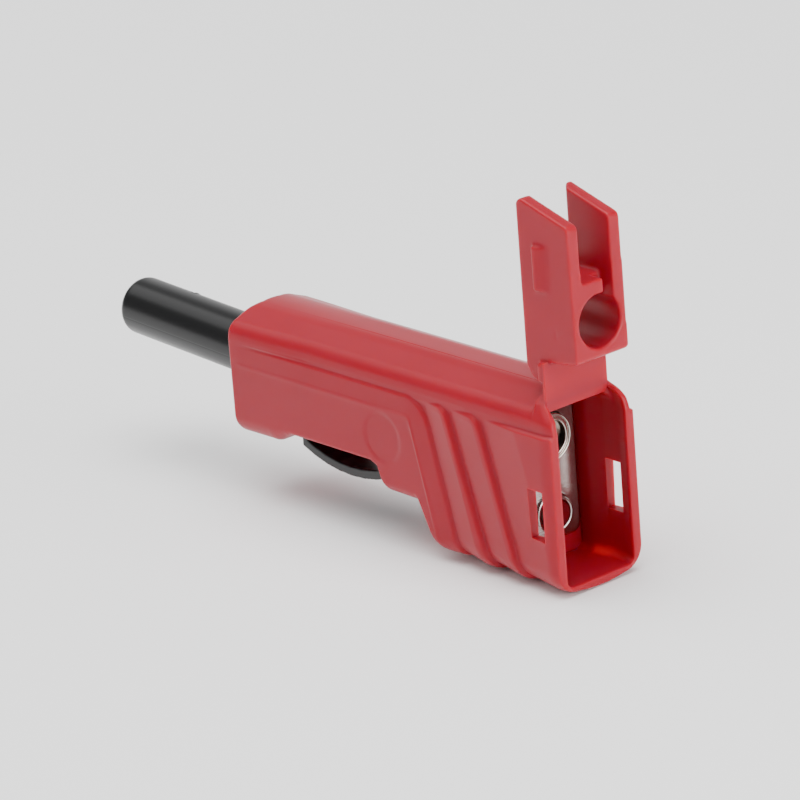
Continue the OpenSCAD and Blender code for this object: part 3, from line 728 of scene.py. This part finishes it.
def socketTube():
    # the outline of the drawn cup, its mouth narrower than its bore, turned about the x axis
    (x0, x1), r, rim = tube["x"], tube["r"], tube["rim"]
    inner, mouth = r - tube["wall"], tube["mouthR"]
    band = np.c_[np.full(3, x1 - 0.2), np.linspace(r - 2.2 * rim, mouth + 2.2 * rim, 3)]
    profile = np.concatenate([
        [[x0, 0.02], [x0, r - 0.2], [x0 + 0.2, r]],
        np.c_[np.linspace(x0 + 1, x1 - rim, 12), np.full(12, r)],
        arcPoints(x1 - rim, r - rim, rim, 80, -60, 9), band,
        arcPoints(x1 - rim, mouth + rim, rim, 60, -80, 9),
        [[x1 - 0.9, mouth], [x1 - 1.2, inner], [x0 + tube["floor"] + 0.1, inner],
         [x0 + tube["floor"], inner - 0.1], [x0 + tube["floor"], 0.02]]])
    turnedPiece("stackingTube", profile, 128, nickel, "body", ["socket_tube"])


socketTube()

# terminal plate: its own solid with slightly rounded edges
plate = {"voxel": 0.14, "passes": 3}
mouldedCopy("terminal_plate", "terminalPlate", brushed, "body", plate["voxel"],
            plate["passes"])
print("tube and terminal plate done")

# return spring: a wound coil that the sleeve presses together
spring = {"x": (6.3, 28.4), "radius": 3.3, "wire": 0.3, "turns": 11.0, "travel": 16.0,
          "endShare": 0.055}


def returnSpring():
    # the wire's centre line winds round the plug's axis, its end turns wound close together
    x0, x1 = spring["x"]
    share = np.linspace(0, 1, 32 * int(spring["turns"]))
    x = x0 + spring["wire"] + (x1 - x0 - 2 * spring["wire"]) * (
        share - spring["endShare"] * np.sin(2 * np.pi * share))
    turn = 2 * np.pi * spring["turns"] * share
    centre = np.stack([x, spring["radius"] * np.cos(turn), spring["radius"] * np.sin(turn)], 1)
    along = np.gradient(centre, axis=0)
    along /= np.linalg.norm(along, axis=1, keepdims=True)
    out = np.stack([0 * x, np.cos(turn), np.sin(turn)], 1)
    side = np.cross(along, out)
    a = np.linspace(0, 2 * np.pi, 10, endpoint=False)
    points = (centre[:, None] + spring["wire"] * (out[:, None] * np.cos(a)[None, :, None]
                                                  + side[:, None] * np.sin(a)[None, :, None]))
    points = points.reshape(-1, 3)
    t = np.radians(shell["tilt"])
    points = np.stack([points[:, 0] * np.cos(t) + points[:, 2] * np.sin(t), points[:, 1],
                       -points[:, 0] * np.sin(t) + points[:, 2] * np.cos(t)], 1)
    obj = putMesh("returnSpring", points, ringFaces(len(x), len(a)), steel, "body",
                  ["return_spring"])
    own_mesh(obj)


returnSpring()
print("spring done")

# stage, light and camera
studio = {"floorZ": -17.75 * mm, "floorHalf": 4.0, "floor": "#fbfbfb", "world": 0.36, "sun": 2.9,
          "sunAngle": 60.0}
panels = {  # place, target, size and power of each panel
    "topPanel": ((-0.3, -0.24, 0.8), (-0.3, -0.24, 0), (1.6, 0.72), 6.0),
    "farPanel": ((-1.1, 0.95, 0.45), (0.03, 0, 0), (1.6, 0.9), 3.4),
    "sideBox": ((-0.1, -0.8, 0.6), (0.03, 0, 0), (0.6, 0.4), 1.6),
    "rearBox": ((0.5, 0.06, 0.1), (0.055, 0, 0), (0.3, 0.3), 2.4)}
view = {"place": (0.485166, -0.385991, 0.210311), "right": (0.66112, 0.74645, -0.07565),
        "down": (0.20208, -0.27426, -0.94018), "forward": (-0.72255, 0.60629, -0.33216),
        "lens": 225.0, "sensor": 36.0, "near": 0.01}


def floorSheet():
    # one wide white square just below the plug
    mesh = bpy.data.meshes.new("floorSheet")
    half, z = studio["floorHalf"], studio["floorZ"]
    mesh.from_pydata([(-half, -half, z), (half, -half, z), (half, half, z), (-half, half, z)], [],
                     [(0, 1, 2, 3)])
    obj = bpy.data.objects.new("floorSheet", mesh)
    bpy.context.scene.collection.objects.link(obj)
    mat, bsdf = newMaterial("whiteFloorPaper")
    bsdf.inputs["Base Color"].default_value = linearColour(studio["floor"])
    bsdf.inputs["Roughness"].default_value = 0.9
    bsdf.inputs["Specular IOR Level"].default_value = 0.1
    mesh.materials.append(mat)


def softBox(name, place, target, size, power):
    # a rectangular lamp that looks from its place towards its target
    light = bpy.data.lights.new(name, "AREA")
    light.shape = "RECTANGLE"
    light.size, light.size_y = size
    light.energy = power
    obj = bpy.data.objects.new(name, light)
    obj.location = place
    obj.rotation_euler = (Vector(target) - Vector(place)).to_track_quat("-Z", "Y").to_euler()
    bpy.context.scene.collection.objects.link(obj)


floorSheet()
world = bpy.data.worlds.new("paleRoom")
bpy.context.scene.world = world
world.use_nodes = True
world.node_tree.nodes["Background"].inputs["Color"].default_value = (1, 1, 1, 1)
world.node_tree.nodes["Background"].inputs["Strength"].default_value = studio["world"]
# a wide soft sun from straight above whitens the floor, and the panels above, beyond, beside and
# behind the object shine in it; the room itself stays dim
sun = bpy.data.lights.new("ceilingLight", "SUN")
sun.energy = studio["sun"]
sun.angle = np.radians(studio["sunAngle"])
ceiling = bpy.data.objects.new("ceilingLight", sun)
bpy.context.scene.collection.objects.link(ceiling)
for name, (place, target, size, power) in panels.items():
    softBox(name, place, target, size, power)

right, down, forward = (Vector(view[k]) for k in ("right", "down", "forward"))
camData = bpy.data.cameras.new("photoCamera")
camData.sensor_width = view["sensor"]
camData.lens = view["lens"]
camData.clip_start = view["near"]
camera = bpy.data.objects.new("photoCamera", camData)
camera.matrix_world = (Matrix.Translation(view["place"])
                       @ Matrix((right, -down, -forward)).transposed().to_4x4())
bpy.context.scene.collection.objects.link(camera)
bpy.context.scene.camera = camera
print("stage, light and camera done")
